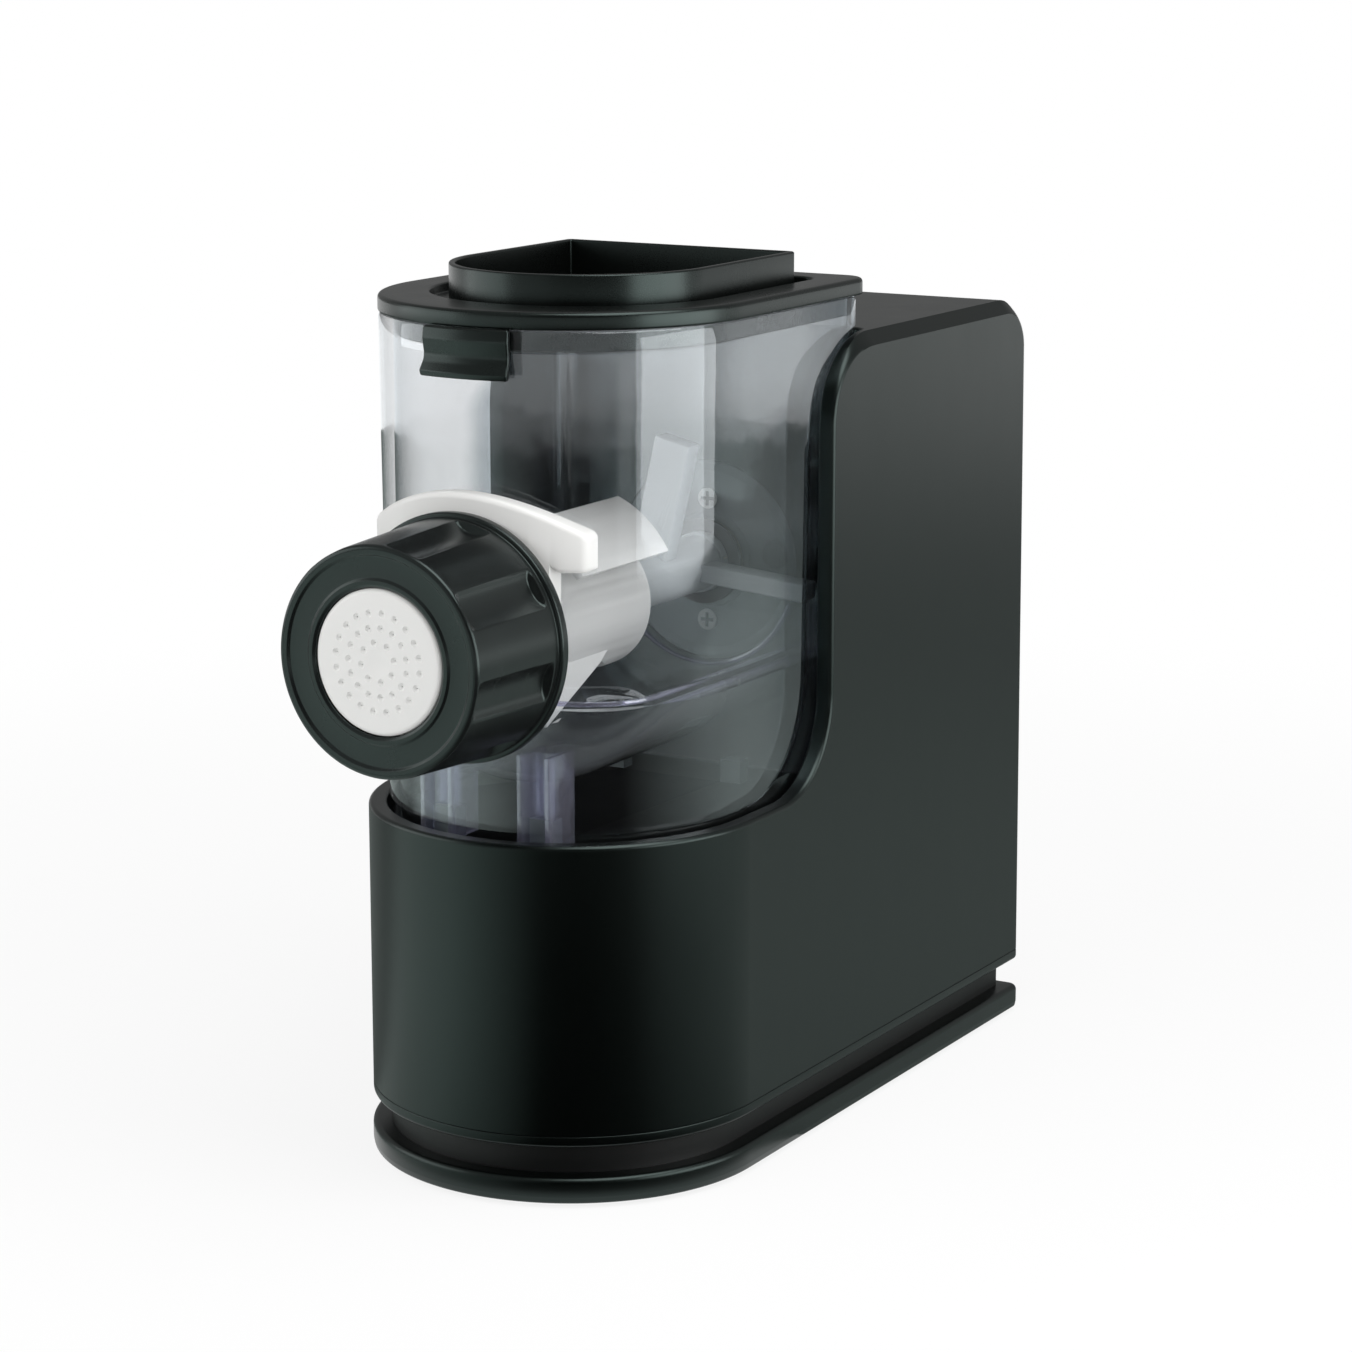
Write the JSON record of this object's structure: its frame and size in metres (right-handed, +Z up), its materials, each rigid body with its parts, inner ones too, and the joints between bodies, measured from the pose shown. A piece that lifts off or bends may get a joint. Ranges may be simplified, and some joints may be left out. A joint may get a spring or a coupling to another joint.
{
  "type": "electric pasta maker",
  "caption": "Electric pasta maker with a tall motor tower, clear mixing bowl, hinged lid with a filling funnel, and a screw extruder behind a gripped cap nut.",
  "frame": {"origin": "middle of the footprint on the surface the feet stand on", "axes": "+Z up, extruder pointing along -Y, +X to the right seen from the front"},
  "size_m": [0.1406, 0.3334, 0.3065],
  "materials": {
    "black_gloss": "glossy black moulding",
    "black_matte": "fine matte black moulding",
    "rubber": "soft black rubber",
    "screw_steel": "zinc plated steel",
    "clear_bowl": "clear plastic with a faint blue tint",
    "white_plastic": "white food-safe plastic",
    "drive_cover": "grey moulding",
    "seal": "grey silicone",
    "plate_steel": "pressed steel",
    "shaft_steel": "ground steel",
    "bush_brass": "sintered bronze",
    "gear_plastic": "natural gear plastic",
    "motor_steel": "rolled steel can",
    "winding": "laminations and copper",
    "board": "green circuit board",
    "board_parts": "black component bodies"
  },
  "bodies": {
    "housing": {"foot_plate": "black_gloss", "rubber_feet": "rubber", "foot_screws": "screw_steel", "base_pan": "black_matte", "base_trim": "black_gloss", "main_housing": "black_gloss", "well_deck": "black_matte", "drive_cover": "drive_cover", "cover_screws": "screw_steel", "rear_cover": "black_matte", "rear_screws": "screw_steel", "cord_bush": "rubber", "front_gear_plate": "plate_steel", "rear_gear_plate": "plate_steel", "gear_bushes": "bush_brass", "plate_pillars": "shaft_steel", "motor_case": "motor_steel", "motor_screws": "screw_steel", "motor_stator": "winding", "control_board": "board", "board_parts": "board_parts", "selector_body": "black_matte", "mixing_bowl": "clear_bowl", "shaft_seal": "seal", "barrel": "white_plastic", "hinge_pin": "screw_steel"},
    "selector_knob": {"mode_knob": "black_gloss"},
    "lid": {"lid": "black_gloss", "lid_funnel": "black_gloss", "lid_gasket": "seal", "latch_pin": "screw_steel"},
    "latch": {"lid_latch": "black_gloss"},
    "lock_yoke": {"lock_yoke": "white_plastic"},
    "die": {"die": "white_plastic", "die_ring": "seal"},
    "cap_nut": {"cap_nut": "black_gloss"},
    "rotor": {"drive_shaft": "shaft_steel", "output_gear": "gear_plastic", "drive_dog": "white_plastic", "mixing_shaft": "white_plastic", "paddles": "white_plastic", "auger": "white_plastic"},
    "idler": {"idler_gear": "gear_plastic", "idler_arbor": "shaft_steel"},
    "motor_rotor": {"motor_pinion": "shaft_steel", "motor_arbor": "shaft_steel", "motor_armature": "winding", "motor_fan": "gear_plastic"}
  },
  "joints": [
    {"name": "lid_hinge", "type": "hinge", "parent": "housing", "child": "lid", "pos_m": [0, 0.04825, 0.288], "axis": [-1, 0, 0], "range_deg": [0, 100]},
    {"name": "latch_pivot", "type": "hinge", "parent": "lid", "child": "latch", "pos_m": [0, -0.10885, 0.294], "axis": [-1, 0, 0], "range_deg": [0, 25], "stiffness_Nm_per_rad": 0.05},
    {"name": "selector_turn", "type": "hinge", "parent": "housing", "child": "selector_knob", "pos_m": [-0.061, 0.10975, 0.236], "axis": [-1, 0, 0], "range_deg": [-60, 60]},
    {"name": "yoke_lift", "type": "slide", "parent": "housing", "child": "lock_yoke", "axis": [0, 0, 1], "range_m": [0, 0.02]},
    {"name": "die_shift", "type": "slide", "parent": "housing", "child": "die", "axis": [0, -1, 0], "range_m": [0, 0.003]},
    {"name": "nut_turn", "type": "hinge", "parent": "die", "child": "cap_nut", "pos_m": [0, -0.15025, 0.1917], "axis": [0, -1, 0], "range_deg": [0, 90]},
    {"name": "rotor_spin", "type": "hinge", "parent": "housing", "child": "rotor", "pos_m": [0, 0.04325, 0.1917], "axis": [0, 1, 0], "continuous": true},
    {"name": "idler_spin", "type": "hinge", "parent": "housing", "child": "idler", "pos_m": [0, 0.06825, 0.14145], "axis": [0, 1, 0], "continuous": true},
    {"name": "motor_spin", "type": "hinge", "parent": "housing", "child": "motor_rotor", "pos_m": [0, 0.10325, 0.1012], "axis": [0, 1, 0], "continuous": true}
  ],
  "couplings": [
    {"joint": "idler_spin", "follows": "rotor_spin", "ratio": -3.1667},
    {"joint": "motor_spin", "follows": "rotor_spin", "ratio": 9.5},
    {"joint": "die_shift", "follows": "nut_turn", "m_per_rad": 0.0019}
  ]
}
